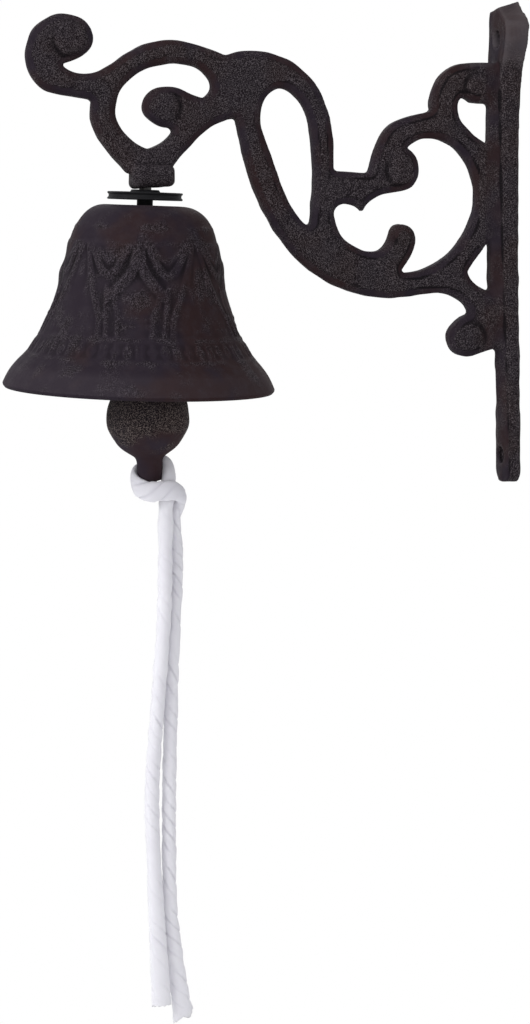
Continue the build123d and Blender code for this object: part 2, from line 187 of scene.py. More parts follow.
def even_steps(line):
    """The line cut into even steps, and its length: coordinates are read off at equal distances along it."""
    lengths = np.concatenate([[0.0], np.cumsum(np.linalg.norm(np.diff(line, axis=0), axis=1))])
    count = int(round(lengths[-1] / rope_step)) + 1
    at = np.linspace(0.0, lengths[-1], count)
    return np.column_stack([np.interp(at, lengths, line[:, axis]) for axis in range(3)]), lengths[-1]


left_line, left_length = even_steps(spline_line("left_route", crown + left_half))
right_line, right_length = even_steps(spline_line("right_route", crown + right_half))
print("rope halves", round(1000 * left_length), "and", round(1000 * right_length), "mm")

# %% [markdown]
# ## Shader maths in plain Python
#
# A material is a network of nodes. Written out node by node it is long and hard to follow, so one small class
# stands for a socket and turns Python's operators into Math nodes. A second one holds the network, of a
# material or of the sky, and makes any other node from its type, its settings and its inputs.

# %% Node helpers
class Signal:
    """A socket whose value changes over the surface. Sums, differences and products add Math nodes."""

    def __init__(self, finish, socket):
        self.finish = finish
        self.socket = socket

    def maths(self, operation, *others):
        return self.finish.maths(operation, self, *others)

    def __add__(self, other):
        return self.maths("ADD", other)

    def __mul__(self, other):
        return self.maths("MULTIPLY", other)

    def __sub__(self, other):
        return self.maths("SUBTRACT", other)

    def __rsub__(self, other):
        return self.finish.maths("SUBTRACT", other, self)

    __radd__ = __add__
    __rmul__ = __mul__

    def clamped(self):
        """Held between 0 and 1."""
        return self.finish.node("ShaderNodeClamp", {}, {"Value": self})


class Finish:
    """The nodes of a material or of the sky, with one call for each node that it needs."""

    def __init__(self, owner, shader="Principled BSDF"):
        owner.use_nodes = True
        self.owner = owner
        self.tree = owner.node_tree
        self.shader = self.tree.nodes[shader]

    def feed(self, socket, value):
        """Puts a link, from a signal, or a plain value into a socket."""
        if isinstance(value, Signal):
            self.tree.links.new(value.socket, socket)
        else:
            socket.default_value = value

    def node(self, kind, settings, values, output=0):
        """Node of this kind: settings first, then values or links into its sockets. Returns one output."""
        made = self.tree.nodes.new(kind)
        for key, value in settings.items():
            setattr(made, key, value)
        for key, value in values.items():
            self.feed(made.inputs[key], value)
        return Signal(self, made.outputs[output])

    def maths(self, operation, *values):
        return self.node("ShaderNodeMath", {"operation": operation}, dict(enumerate(values)))

    @cached_property
    def place(self):
        """Place on the piece, in object coordinates. The node is made at its first use."""
        return self.node("ShaderNodeTexCoord", {}, {}, "Object")

    def noise(self, size, detail, roughness):
        """Soft random pattern whose patches are about this many metres across."""
        values = {"Vector": self.place, "Scale": 1.0 / size, "Detail": detail, "Roughness": roughness}
        return self.node("ShaderNodeTexNoise", {}, values)

    def step(self, signal, low, high):
        """0 below low, 1 above high, and a smooth rise between them."""
        settings = {"interpolation_type": "SMOOTHSTEP"}
        return self.node("ShaderNodeMapRange", settings, {"Value": signal, "From Min": low, "From Max": high})

    def own(self, attribute):
        """A number stored with each point of the piece's mesh."""
        return self.node("ShaderNodeAttribute", {"attribute_name": attribute}, {}, "Fac")

    def blend(self, share, first, second):
        """First colour where share is 0, second where it is 1."""
        return self.node("ShaderNodeMix", {"data_type": "RGBA"}, {0: share, 6: first, 7: second}, 2)

    def bump(self, height, depth):
        """Normal of a surface whose height signal stands for this many metres."""
        return self.node("ShaderNodeBump", {}, {"Height": height, "Distance": depth})

    def set(self, **inputs):
        """Values and links for the finish's own shader, underscores standing for spaces."""
        for key, value in inputs.items():
            self.feed(self.shader.inputs[key.replace("_", " ")], value)


print("node helpers ready")

# %% [markdown]
# ## Sand-cast iron
#
# Iron poured into a sand mould keeps the sand's grain. The skin is dark brown-black with grey dust in it. Its
# hollows are painted darkest, as painted shade, and the edges that hands and weather touch are a little paler
# and smoother, partly from wear and partly as a painted highlight. So the material has grain at three sizes,
# pale specks and a slow drift between violet and rust; on bell and clapper the ground also turns to the
# redder, darker rust towards the wall, as painted shade. It reads two numbers of each point: edge, from 1 on
# outside corners to -1 in hollows, to which each piece adds its own painted light and shade, and grit, which
# is high where the sand's grain shows and low where the casting came smooth.

# %% Cast iron
violet, rust = np.array((0.0170, 0.0125, 0.0180)), np.array((0.0205, 0.0108, 0.0115))
# The last colour here is painted shade, for hollows, seams and creases.
dust, pit, hollow_shade = (0.034, 0.028, 0.035, 1), (0.0065, 0.0048, 0.0055, 1), (0.0040, 0.0030, 0.0040, 1)


def cast_iron(name, grain, speckle, grey, shade_towards_wall=0.0, tone=1.0):
    """Dark iron: grain is the depth of the sand texture in metres, speckle how strong its pale points are.

    grey is the colour of the pale points and of the edges paled by wear and painted highlight.
    shade_towards_wall turns the ground from violet to the redder, darker rust towards the wall, by this much
    for each metre from the bell's middle: painted shade on the side away from the main lamp. tone multiplies
    these two colours.
    """
    finish = Finish(bpy.data.materials.new(name))
    fine = finish.noise(0.00040, 1.0, 0.6)
    medium = finish.noise(0.0020, 3.0, 0.6)
    patch = finish.noise(0.008, 3.0, 0.5)
    cloud = finish.noise(0.005, 4.0, 0.65)
    drift = finish.noise(0.020, 3.0, 0.55)
    towards_wall = finish.node("ShaderNodeSeparateXYZ", {}, {0: finish.place}, "X") + 0.160
    edge = finish.own("edge")
    gritty = finish.step(finish.own("grit") + patch, 0.68, 1.10)
    # Random rust patches, plus painted shade: the ground turns to the redder, darker rust towards the wall.
    rust_and_side_shade = finish.step(drift + towards_wall * shade_towards_wall, 0.40, 0.62)
    ground = finish.blend(rust_and_side_shade, (*(tone * violet), 1), (*(tone * rust), 1))
    dusty = finish.blend(finish.step(cloud, 0.42, 0.75) * 0.35, ground, dust)
    pitted = finish.blend(finish.step(0.0 - fine, -0.57, -0.47) * gritty * 0.80, dusty, pit)
    points = finish.step(fine, 0.49, 0.61) * (finish.step(medium, 0.30, 0.56) * 0.5 + 0.5) * gritty
    speckled = finish.blend(points * speckle, pitted, grey)
    # Outside edges turn paler: partly wear, partly a painted highlight.
    worn_and_highlit = finish.blend(finish.step(edge, 0.15, 0.9) * 0.40, speckled, grey)
    # Hollows, seams and creases turn dark: painted shade.
    colour = finish.blend(finish.step(0.0 - edge, 0.05, 0.6) * 0.85, worn_and_highlit, hollow_shade)
    height = (fine * 0.6 + medium * 0.6) * (gritty * 0.8 + 0.2) + cloud * 0.5
    finish.set(
        Base_Color=colour,
        Roughness=(0.60 + medium * 0.16 - points * 0.12).clamped(),
        Specular_IOR_Level=0.04,
        Normal=finish.bump(height, grain),
    )
    return finish.owner


bracket_iron = cast_iron("bracket_iron", 0.00045, 0.55, (0.115, 0.100, 0.105, 1))
# Bell and clapper turn redder and darker towards the wall, as painted shade.
bell_iron = cast_iron("bell_iron", 0.00035, 0.46, (0.115, 0.098, 0.112, 1), shade_towards_wall=5.0, tone=1.08)
# The clapper's tone lifts its colours as painted light, since it hangs under the bell, in its shade.
clapper_iron = cast_iron("clapper_iron", 0.00060, 0.90, (0.150, 0.122, 0.112, 1), shade_towards_wall=4.0, tone=1.45)
print("three iron finishes")

# %% [markdown]
# ## Numbers for each point of a mesh
#
# The uneven skin of a casting is a slow random wave, and its wear, painted highlights and painted shade
# follow its shape. All are worked out for all points at once. A mesh knows which points its edges join, so
# sums over the edges give the mean of each point's neighbours, and with it how far a point stands out, or how
# far it lies from some other feature.

# %% Waves and neighbours
def wave_noise(points, size, waves=28, seed=1):
    """Smooth random height between about -1 and 1: the sum of sine waves in random directions.

    Each wave's length is near size, and their sum is divided by the root of half their number.
    """
    chance = np.random.default_rng(seed)
    ways = chance.normal(size=(waves, 3))
    ways /= np.linalg.norm(ways, axis=1)[:, None]
    rates = 2 * np.pi / (size * chance.uniform(0.7, 1.6, waves))
    phases = chance.uniform(0, 2 * np.pi, waves)
    return np.sin(points @ (ways * rates[:, None]).T + phases).sum(axis=1) / np.sqrt(waves / 2)


def mesh_arrays(mesh):
    """Points, normals and edges of a mesh as arrays."""
    points = np.empty(3 * len(mesh.vertices))
    normals = np.empty(3 * len(mesh.vertices))
    edges = np.empty(2 * len(mesh.edges), dtype=np.int32)
    mesh.vertices.foreach_get("co", points)
    mesh.vertex_normals.foreach_get("vector", normals)
    mesh.edges.foreach_get("vertices", edges)
    return points.reshape(-1, 3), normals.reshape(-1, 3), edges.reshape(-1, 2)


def store_number(mesh, name, values):
    """Stores one number for each point of the mesh, for its material to read."""
    layer = mesh.attributes.new(name, "FLOAT", "POINT")
    layer.data.foreach_set("value", np.ravel(values).astype(np.float32))


def neighbour_mean(values, edges):
    """Mean of each point's neighbours, from sums over both ends of every edge."""
    count = np.bincount(edges.ravel(), minlength=len(values))
    total = np.zeros_like(values)
    np.add.at(total, edges[:, 0], values[edges[:, 1]])
    np.add.at(total, edges[:, 1], values[edges[:, 0]])
    return total / np.maximum(count, 1).reshape(-1, *([1] * (values.ndim - 1)))


def outward_edge(mesh, reach, rounds=3):
    """How far a point lies outside the mean of its neighbours, along its normal.

    It is divided by reach and softened over a few neighbours.
    """
    points, normals, edges = mesh_arrays(mesh)
    stands_out = ((points - neighbour_mean(points, edges)) * normals).sum(axis=1) / reach
    for _ in range(rounds):
        stands_out = 0.5 * stands_out + 0.5 * neighbour_mean(stands_out, edges)
    return stands_out


def distance_to(chosen, points, edges, rounds=9):
    """Distance of each point to the nearest chosen one, as far as that many edges reach.

    Each round, a point asks its neighbours for their nearest chosen place and keeps whichever is nearer.
    """
    nearest = np.where(chosen[:, None], points, 1.0)
    distance = np.where(chosen, 0.0, 1.0)
    asking, asked = np.concatenate([edges, edges[:, ::-1]]).T
    for _ in range(rounds):
        tried = np.linalg.norm(points[asking] - nearest[asked], axis=1)
        nearer = tried < distance[asking]
        nearest[asking[nearer]] = nearest[asked[nearer]]
        distance[asking[nearer]] = tried[nearer]
    return distance


print("point helpers ready")

# %% [markdown]
# ## Skin for the castings
#
# The CAD bracket has flat faces and sharp bevels, but sand never holds a sharp edge. The way here is to wrap
# the solid in an even net of small squares, let the net relax so that corners round off, and then push it in
# and out by the slow random wave. The net's own edge number comes from how far each point stands out.

# %% Cast skin
def relax_net(holder, title, rounds):
    """Adds a Smooth modifier: in each round every point moves halfway to the mean of its neighbours."""
    smooth = holder.modifiers.new(title, "SMOOTH")
    smooth.factor = 0.5
    smooth.iterations = rounds
    return smooth


def cast_skin(node, voxel, relax, crowning, unevenness, material, marks):
    """Piece that stands for a CAD casting: an even net over it, relaxed, then moved by a slow wave.

    voxel is the size of the net's squares and unevenness the wave's height, both in metres. crowning is how
    many more times the net relaxes across the arm only, which rounds the faces towards their edges and keeps
    the outline. marks is a function that tells, for each point, how far it sinks, its grit and what is added
    to its edge number.
    """
    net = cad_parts[node].data.copy()
    shell = bmesh.new()
    shell.from_mesh(net)
    bmesh.ops.remove_doubles(shell, verts=shell.verts, dist=1e-6)
    shell.to_mesh(net)
    shell.free()
    holder = bpy.data.objects.new(node + "_net", net)
    bpy.context.scene.collection.objects.link(holder)
    remesh = holder.modifiers.new("net", "REMESH")
    remesh.mode = "VOXEL"
    remesh.voxel_size = voxel
    relax_net(holder, "relax", relax)
    if crowning:
        crown_faces = relax_net(holder, "crowning", crowning)
        crown_faces.use_x = crown_faces.use_z = False
    seen = holder.evaluated_get(bpy.context.evaluated_depsgraph_get())
    skin = bpy.data.meshes.new_from_object(seen)
    bpy.data.objects.remove(holder)
    points, normals, edges = mesh_arrays(skin)
    sunk, grit, painted_light_shade = marks(points, normals, edges)
    moved = points + normals * (unevenness * wave_noise(points, 0.009) - sunk)[:, None]
    skin.vertices.foreach_set("co", moved.ravel())
    skin.update()
    store_number(skin, "edge", np.clip(0.5 * outward_edge(skin, 0.10 * voxel) + painted_light_shade, -1, 1))
    store_number(skin, "grit", grit)
    skin.materials.clear()
    piece = add_object(node + "_cast", skin, material)
    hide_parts(node)
    print(node, "skin has", len(skin.polygons), "faces")
    return piece


print("skin helpers ready")

# %% [markdown]
# ## The bracket
#
# Round the eye of each curl the casting has a crease, and beside every wall of the arm a smooth bevel, which
# ends at a seam. Both are pressed into the net, rather than drawn as colour alone, so that they catch the
# light, and their colour is darkened too, as painted shade. The upper lug is made paler, as painted light.
# The wall bar has one seam down its side, where the two halves of its mould met.

# %% Bracket
# Curl eyes of the arm: place across and up, radius in millimetres, and the notch's direction in degrees
curl_eyes = [
    (-191.0, 85.4, 7.0, -125.0), (-152.6, 58.6, 6.2, 10.0), (-51.2, 32.6, 6.6, -150.0),
    (-51.0, 6.2, 4.2, 170.0), (-20.8, -38.4, 6.0, 40.0), (-17.5, 67.8, 6.0, 150.0),
]
bevel_width = 0.0030
bevel_depth = 0.0009
seam_width = 0.00055
seam_depth = 0.00025
bar_side = -0.0170


def curl_creases(points):
    """Depth of the crease round each curl's eye, deepest on the side of the curl's notch, in metres.

    It is a bell curve of the distance to the eye's circle, times a share that follows the cosine of the
    angle from the notch, and the eye inside it rises as a low dome.
    """
    depth = np.zeros(len(points))
    for across, up, radius, notch in curl_eyes:
        right, rise = points[:, 0] * 1000 - across, points[:, 2] * 1000 - up
        away = np.hypot(right, rise)
        side = np.clip(0.25 + 0.75 * np.cos(np.arctan2(rise, right) - np.radians(notch)), 0, 1)
        depth += 0.8 * side * np.exp(-((away - radius - 0.4) / 1.7) ** 2)
        depth -= 0.25 * ramp((away / radius) ** 2, 1, 0)
    return 0.001 * depth


def bracket_marks(points, normals, edges):
    """The bracket's faces: a smooth bevel beside every wall, a seam where it ends, and grit beyond it.

    The bevel sinks evenly towards the wall. Walls are the points whose normal looks mostly along the arm's
    plane. The bar's seam runs down it past the arms, slanting a little towards the wall, with a smooth strip
    in front of it. The boss has none, and the upper lug is smoother. The third number returned is painted
    light
    and shade for the edge number: the upper lug paler, and seams and curl creases darker.
    """
    along, up = points[:, 0], points[:, 2]
    broad = np.abs(normals[:, 1])
    on_bar = along > bar_side
    on_boss = (along < -0.147) & (up < 0.047)
    from_wall = distance_to((broad < 0.55) & ~on_bar, points, edges)
    from_wall = 0.5 * from_wall + 0.5 * neighbour_mean(from_wall, edges)
    from_wall = np.where(on_bar | on_boss, 1.0, from_wall)
    past_seam = along + 0.0088 - 0.024 * (0.063 - up)
    strip = ramp(along, bar_side, bar_side + 0.003) * (past_seam < 0)
    lug = ramp(up, 0.073, 0.081) * (along > -0.022)
    off_seam = np.minimum(np.abs(from_wall - bevel_width), np.abs(past_seam))
    seam = np.exp(-(off_seam / seam_width) ** 2) * (1 - lug)
    seam_wave = (0.65 + 0.35 * wave_noise(points, 0.013, seed=4)) * np.clip(8.0 * (along + 0.155), 0.25, 1)
    crease = curl_creases(points)
    sunk = bevel_depth * ramp(from_wall, bevel_width, 0) * (1 - lug) + seam_depth * seam + crease
    grit = np.where(from_wall < bevel_width, 0.30, 0.80) * (1 - 0.7 * lug) * (1 - 0.6 * strip)
    # Painted light on the upper lug, and painted shade in the seams and curl creases.
    painted_light_shade = 0.62 * lug * ramp(broad, 0.3, 0.6) - seam * seam_wave - 260 * np.clip(crease, 0, 1)
    return sunk * broad ** 2, grit, painted_light_shade


bracket = cast_skin("bracket", 0.00078, relax=3, crowning=44, unevenness=0.00010,
                    material=bracket_iron, marks=bracket_marks)
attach(bracket, "mount")

# %% [markdown]
# ## The clapper
#
# The clapper is one casting too, a bulb with a straight tail. Its bulb came out of coarser sand than its
# tail, so it gets the same skin with finer squares, and grit that fades out below the bulb's middle.

# %% Clapper
def clapper_marks(points, normals, edges):
    """Grit on the bulb, fading below its middle along a wavy line, and little of it on the tail."""
    wavy = points[:, 2] + 0.003 * wave_noise(points, 0.012, seed=6)
    side = np.abs(normals[:, 0])
    return 0 * wavy, 0.10 + 0.78 * ramp(wavy + 0.008 * side, -0.0775, -0.0615), 0.0


clapper = cast_skin("clapper", 0.00062, relax=4, crowning=0, unevenness=0.00012,
                    material=clapper_iron, marks=clapper_marks)
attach(clapper, "clapper")

# %% [markdown]
# ## The bell's outline
#
# A bell is turned: one outline goes round one axis. This axis leans a little, as the bell does on its bolt.
# The outline is a smooth line through a few points, given as radius and depth under the crown. A cubic that
# passes through them with no kink is found by solving for its slopes, all at once.

# %% Bell outline
hang_tilt = np.radians(1.9)
bell_axis = np.array((np.sin(hang_tilt), 0.0, np.cos(hang_tilt)))
bell_across = np.array((np.cos(hang_tilt), 0.0, -np.sin(hang_tilt)))
outer_rows, inner_rows = 152, 15

outer_points = np.array([
    (3.0, 0.0), (12.0, 0.0), (19.0, 0.1), (24.6, 3.3), (28.1, 8.4), (30.4, 14.8), (32.3, 23.2), (34.5, 33.0),
    (37.5, 42.8), (41.6, 52.6), (47.3, 61.0), (52.9, 68.0), (55.6, 73.5),
])
lip_points = np.array([(55.5, 74.3), (54.8, 75.1), (53.5, 75.1), (52.7, 74.5)])
inner_points = np.array([
    (52.4, 73.8), (49.0, 67.9), (43.4, 60.6), (37.7, 52.6), (33.5, 42.8), (30.5, 33.0), (28.3, 23.2),
    (26.4, 14.7), (23.4, 8.6), (17.0, 4.7), (10.0, 4.6), (3.0, 4.6),
])


def smooth_through(points, count):
    """Even steps along a cubic line through the points.

    Between two points the line is a cubic of the chord's length, and its slopes make the bend continuous.
    """
    chord = np.concatenate([[0.0], np.cumsum(np.linalg.norm(np.diff(points, axis=0), axis=1))])
    gaps = np.diff(chord)
    size = len(points)
    system = np.eye(size) * 2.0
    target = np.zeros_like(points)
    rise = np.diff(points, axis=0) / gaps[:, None]
    inner = np.arange(1, size - 1)
    system[inner, inner - 1] = gaps[1:] / (gaps[:-1] + gaps[1:])
    system[inner, inner + 1] = gaps[:-1] / (gaps[:-1] + gaps[1:])
    target[inner] = 3 * (system[inner, inner - 1][:, None] * rise[:-1]
                         + system[inner, inner + 1][:, None] * rise[1:])
    system[0, 1] = system[-1, -2] = 1.0
    target[0], target[-1] = 3 * rise[0], 3 * rise[-1]
    slopes = np.linalg.solve(system, target)
    at = np.linspace(0, chord[-1], count)
    part = np.clip(np.searchsorted(chord, at) - 1, 0, size - 2)
    gap = gaps[part][:, None]
    share = ((at - chord[part]) / gaps[part])[:, None]
    first = (1 + 2 * share) * (1 - share) ** 2 * points[part]
    second = share ** 2 * (3 - 2 * share) * points[part + 1]
    first_slope = share * (1 - share) ** 2 * gap * slopes[part]
    second_slope = share ** 2 * (share - 1) * gap * slopes[part + 1]
    return first + second + first_slope + second_slope


outer_line = smooth_through(outer_points, outer_rows)
outline = np.concatenate([outer_line, lip_points, smooth_through(inner_points, inner_rows)])
print("bell outline", len(outline), "points")

# %% [markdown]
# ## Raised ornament
#
# The bell carries old-fashioned drapery: in each quarter two swags hang from the top line, a broad ribbon
# parts below them, and short posts stand over a band of small marks. It is a common kind of ornament, and it
# is drawn here from lines alone. Every line is a list of points on half a quarter, across from 0 in its
# middle to 1 at its side, and down in millimetres. The other half mirrors it, and the surface rises near it.

# %% Ornament lines
columns = 570
round_angle = full_turn(columns)
panel_side = np.radians(-102.8)
quarter = np.mod(round_angle - panel_side + np.pi / 4, np.pi / 2) - np.pi / 4
across = (quarter / (np.pi / 4))[None, :]
radius = outer_line[:, 0][:, None]
depth = outer_line[:, 1][:, None]
arc = across * radius * np.pi / 4


def ridge(distance, width, height):
    """Rounded ridge: full height on the line, and nothing beyond width from it."""
    return height * ramp((distance / width) ** 2, 1, 0) ** 1.5


def line_distance(points):
    """Distance in millimetres from every place on the quarter to a line of points (across, depth).

    Each straight part is tried: the nearest point on it is the foot of the perpendicular, held to its ends.
    """
    best = np.full(arc.shape, 1e3)
    for (across_a, depth_a), (across_b, depth_b) in zip(points[:-1], points[1:]):
        ax = (np.abs(across) - across_a) * radius * np.pi / 4
        ay = depth - depth_a
        bx = (across_b - across_a) * radius * np.pi / 4
        by = depth_b - depth_a
        along = np.clip((ax * bx + ay * by) / (bx * bx + by * by), 0, 1)
        best = np.minimum(best, np.hypot(ax - along * bx, ay - along * by))
    return best


folds = 1 + 0.18 * np.sin(arc * 4.2 + depth * 3.0)
beading = 0.55 + 0.45 * np.sin(depth * 4.0)
# Each line's points, half width and height in millimetres, and the share of the height that is kept
drapery = [
    # The outer and the inner swag, and the tassel between them
    ([(0.15, 15.8), (0.26, 21.2), (0.35, 25.6), (0.46, 27.8), (0.59, 25.8), (0.75, 19.6), (0.83, 16.4)],
     1.7, 1.15, folds),
    ([(0.22, 16.0), (0.34, 20.2), (0.48, 21.8), (0.62, 20.0), (0.72, 16.6)], 1.3, 0.60, 1.0),
    ([(0.0, 14.9), (0.0, 23.5)], 1.2, 0.85, 1.0),
    # The ribbon that parts below them
    ([(0.02, 22.5), (0.14, 28.0), (0.28, 32.3), (0.40, 35.4)], 2.5, 1.25, folds),
    ([(0.06, 17.5), (0.10, 24.0), (0.20, 28.5), (0.34, 34.0), (0.30, 39.0)], 1.3, 0.70, 1.0),
    # Two posts, and the drops at the quarter's side
    ([(0.47, 32.5), (0.37, 51.2)], 1.15, 0.95, 1.0),
    ([(0.26, 40.5), (0.21, 51.2)], 1.15, 0.90, 1.0),
    ([(0.93, 15.6), (0.80, 26.0), (0.66, 36.0), (0.52, 43.6), (0.48, 51.0)], 1.5, 0.80, 1.0),
    ([(0.91, 15.2), (0.80, 32.0), (0.86, 35.0)], 1.0, 0.65, beading),
    ([(1.0, 24.0), (0.96, 50.0)], 2.2, 0.30, 1.0),
    # The thin line at the top
    ([(0.0, 15.0), (1.0, 15.0)], 0.6, 0.35, 1.0),
]
# Short level dashes between the posts: depth, start and end
for dash_depth, dash_start, dash_end in ((44.4, 0.0, 0.19), (47.5, 0.0, 0.19), (43.2, 0.42, 0.55),
                                         (46.0, 0.40, 0.50), (48.6, 0.62, 0.90)):
    dashes = np.clip(2.0 * np.sin(arc * 2.1 + dash_depth) + 1.6, 0, 1)
    drapery.append(([(dash_start, dash_depth), (dash_end, dash_depth)], 0.9, 0.65, dashes))

relief = np.zeros(arc.shape)
for ring_depth in (8.6, 14.8, 52.7, 61.0):
    relief = np.maximum(relief, ridge(np.abs(depth - ring_depth), 1.1, 0.55))
for points, width, height, kept in drapery:
    relief = np.maximum(relief, ridge(line_distance(points), width, height) * kept)
print(len(drapery), "lines rise", round(float(relief.max()), 2), "mm")

# %% [markdown]
# ## The band of small marks
#
# Between the two lower rings runs a band of 56 plain marks: lozenges, pairs of bars and crosses, in turn.
# Each has its own small square of surface, and one formula of the place in that square draws each kind.

# %% Ornament band
band_count = 56
band_depth = 57.0
band_turn = round_angle * band_count / (2 * np.pi)
band_x = (np.mod(band_turn, 1.0)[None, :] - 0.5) * 2 * np.pi * radius / band_count
band_y = depth - band_depth
kind = np.mod(np.floor(band_turn), 3)[None, :]
lozenge = np.abs(np.abs(band_x) + np.abs(band_y) / 1.35 - 1.5)
bars = np.where(np.abs(band_y) < 2.4, np.abs(np.abs(band_x) - 0.95), 9.0)
cross = np.minimum(np.abs(band_x), np.abs(band_y))
marks = np.select([kind == 0, kind == 1], [ridge(lozenge, 0.75, 0.85), ridge(bars, 0.75, 0.80)],
                  ridge(cross, 0.80, 0.80))
inside_band = (np.abs(band_y) < 2.7) & (np.abs(band_x) < 1.75)
relief = np.maximum(relief, np.where(inside_band, marks, 0))
print("band of", band_count, "marks at", band_depth, "mm")

# %% [markdown]
# ## The bell's surface
#
# Now the outline goes round the axis. The outer rows are moved along the outline's normal by the ornament,
# which is softened in places as if the mould had not quite filled, and by a slow wave. The edge number here
# is how far the ornament stands above its surroundings, so that the ground beside a ridge turns dark as
# painted shade and the ridges turn a little paler, partly wear and partly painted highlight. The lowest part
# of the flare is made paler too, as painted light.

# %% Bell surface
ground_sunk = 0.24


def ways_round(angles):
    """Directions square to the bell's axis at these angles: cosine one way across and sine the other."""
    return np.cos(angles)[:, None] * bell_across + np.sin(angles)[:, None] * np.array((0.0, 1.0, 0.0))


def turned(line, angles):
    """Steps in space for an outline turned about the bell's axis: radius across it, depth down along it."""
    return line[:, 0, None, None] * ways_round(angles)[None] - line[:, 1, None, None] * bell_axis


def beside(grid, reach):
    """Sum of each place's four neighbours. Those round the bell are this many columns away."""
    return (np.roll(grid, reach, axis=1) + np.roll(grid, -reach, axis=1)
            + np.roll(grid, 1, axis=0) + np.roll(grid, -1, axis=0))


slope = np.gradient(outer_line, axis=0)
normal = np.column_stack([slope[:, 1], -slope[:, 0]])
normal /= np.linalg.norm(normal, axis=1)[:, None]
bell_grid = crown + 0.001 * turned(outline, round_angle)
outer_places = bell_grid[:outer_rows].reshape(-1, 3)
rough_places = wave_noise(outer_places, 0.012, seed=5).reshape(relief.shape)
uneven = 0.10 * wave_noise(outer_places, 0.016, seed=9).reshape(relief.shape)
for _ in range(2):
    relief = 0.4 * relief + 0.15 * beside(relief, 1)
sunk = ground_sunk * ramp(depth, 11, 14) * ramp(depth, 64, 61)
lift = relief * (0.50 + 0.20 * rough_places) - sunk + uneven
bell_grid[:outer_rows] += 0.001 * lift[:, :, None] * turned(normal, round_angle)
bell_mesh = grid_mesh("bell_cast", bell_grid, round_rows=True, round_columns=True)

around = relief
for _ in range(14):
    around = (around + beside(around, 2)) / 5
standing = relief - around
bell_edge = np.zeros(bell_grid.shape[:2])
# Painted shade on the ground beside each ridge, slightly paler ridges, and painted light on the lower flare.
bell_edge[:outer_rows] = np.where(standing > 0, 0.3, 1.3) * standing + 0.36 * ramp(depth, 61, 67)
bell_grit = np.full(bell_grid.shape[:2], 0.22)
bell_grit[:outer_rows] += 0.5 * np.clip(relief, 0, 0.5) + 0.10 * rough_places
bell_grit[:outer_rows] += 0.28 * np.exp(-(across / 0.6) ** 2 - ((depth - 27) / 12) ** 2)
store_number(bell_mesh, "edge", np.clip(bell_edge, -1, 1))
store_number(bell_mesh, "grit", bell_grit)
bell = add_object("bell_cast", bell_mesh, bell_iron)
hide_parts("bell")
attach(bell, "bell")
print("bell has", len(bell_mesh.polygons), "faces")

# %% [markdown]
# ## The spool
#
# Between the boss and the bell sits a smooth, dull black disc with a groove round its rim and a short neck.
# It is the one piece with no cast grain, so its outline is turned with rounded corners and it gets a plain
# rubber finish with a few scuffs.

# %% Spool
def rounded(points, corner, steps=4):
    """Outline with its corners rounded: each corner becomes a short curve between two points beside it.

    The curve is a blend of the two sides' points and the corner, weighted (1-t)(1-t), 2t(1-t) and tt.
    """
    points = np.array(points, dtype=float)
    before = np.roll(points, 1, axis=0) - points
    after = np.roll(points, -1, axis=0) - points
    reach_in = np.minimum(corner, 0.45 * np.linalg.norm(before, axis=1))[:, None]
    reach_out = np.minimum(corner, 0.45 * np.linalg.norm(after, axis=1))[:, None]
    start = (points + before / np.linalg.norm(before, axis=1)[:, None] * reach_in)[:, None]
    end = (points + after / np.linalg.norm(after, axis=1)[:, None] * reach_out)[:, None]
    share = np.linspace(0, 1, steps)[None, :, None]
    curve = (1 - share) ** 2 * start + 2 * share * (1 - share) * points[:, None] + share ** 2 * end
    return curve.reshape(-1, 2)


spool_corners = [
    (2.55, -6.7), (2.55, -0.3), (3.3, -0.3), (3.3, -2.5), (15.25, -2.5), (15.5, -2.7), (15.45, -3.2),
    (14.95, -3.6), (14.9, -4.1), (14.95, -4.6), (15.45, -5.0), (15.5, -5.5), (15.25, -5.7), (6.25, -5.7),
    (5.65, -6.7),
]
spool_grid = crown + 0.001 * turned(rounded(spool_corners, 0.22), full_turn(120))
spool_mesh = grid_mesh("spool_disc", spool_grid, round_rows=True, round_columns=True)

rubber = Finish(bpy.data.materials.new("dull_rubber"))
scuff = rubber.noise(0.004, 5.0, 0.6)
rubber.set(
    Base_Color=rubber.blend(rubber.step(scuff, 0.50, 0.75) * 0.5,
                            (0.0085, 0.0085, 0.0095, 1), (0.017, 0.017, 0.019, 1)),
    Roughness=(scuff * 0.25 + 0.42).clamped(),
    Specular_IOR_Level=0.08,
    Normal=rubber.bump(rubber.noise(0.0007, 2.0, 0.5), 0.00003),
)
spool = add_object("spool_disc", spool_mesh, rubber.owner)
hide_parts("spool")
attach(spool, "mount")
print("spool has", len(spool_mesh.polygons), "faces")

# %% [markdown]
# ## Hidden steel
#
# Bolt, washer, strap and pin sit up inside the bell. Their CAD shapes are right as they are, so they only get
# a finish: dulled steel with brown stains.

# %% Steel
steel = Finish(bpy.data.materials.new("dulled_steel"))
stain = steel.noise(0.003, 5.0, 0.65)
stained = steel.step(stain, 0.45, 0.70)
steel.set(
    Base_Color=steel.blend(stained, (0.070, 0.068, 0.068, 1), (0.035, 0.022, 0.016, 1)),
    Metallic=1.0 - stained * 0.8,
    Roughness=(stain * 0.4 + 0.30).clamped(),
    Normal=steel.bump(stain, 0.00006),
)
steel_nodes = ("hanger_bolt", "crown_washer", "clapper_strap", "clapper_pin")
for name in steel_nodes:
    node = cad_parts[name]
    node.data.materials.clear()
    node.data.materials.append(steel.owner)
print("steel on", len(steel_nodes), "pieces")

# %% [markdown]
# ## Cotton
#
# The cord is soft white cotton. Light goes a little way into it and comes out again nearby, which subsurface
# scattering shows, and it has no shine. A slow noise soils it. The grooves between its strands are darker, as
# painted shade, and the cord is darker where it is squeezed in the knot; the mesh marks both with the number
# groove.

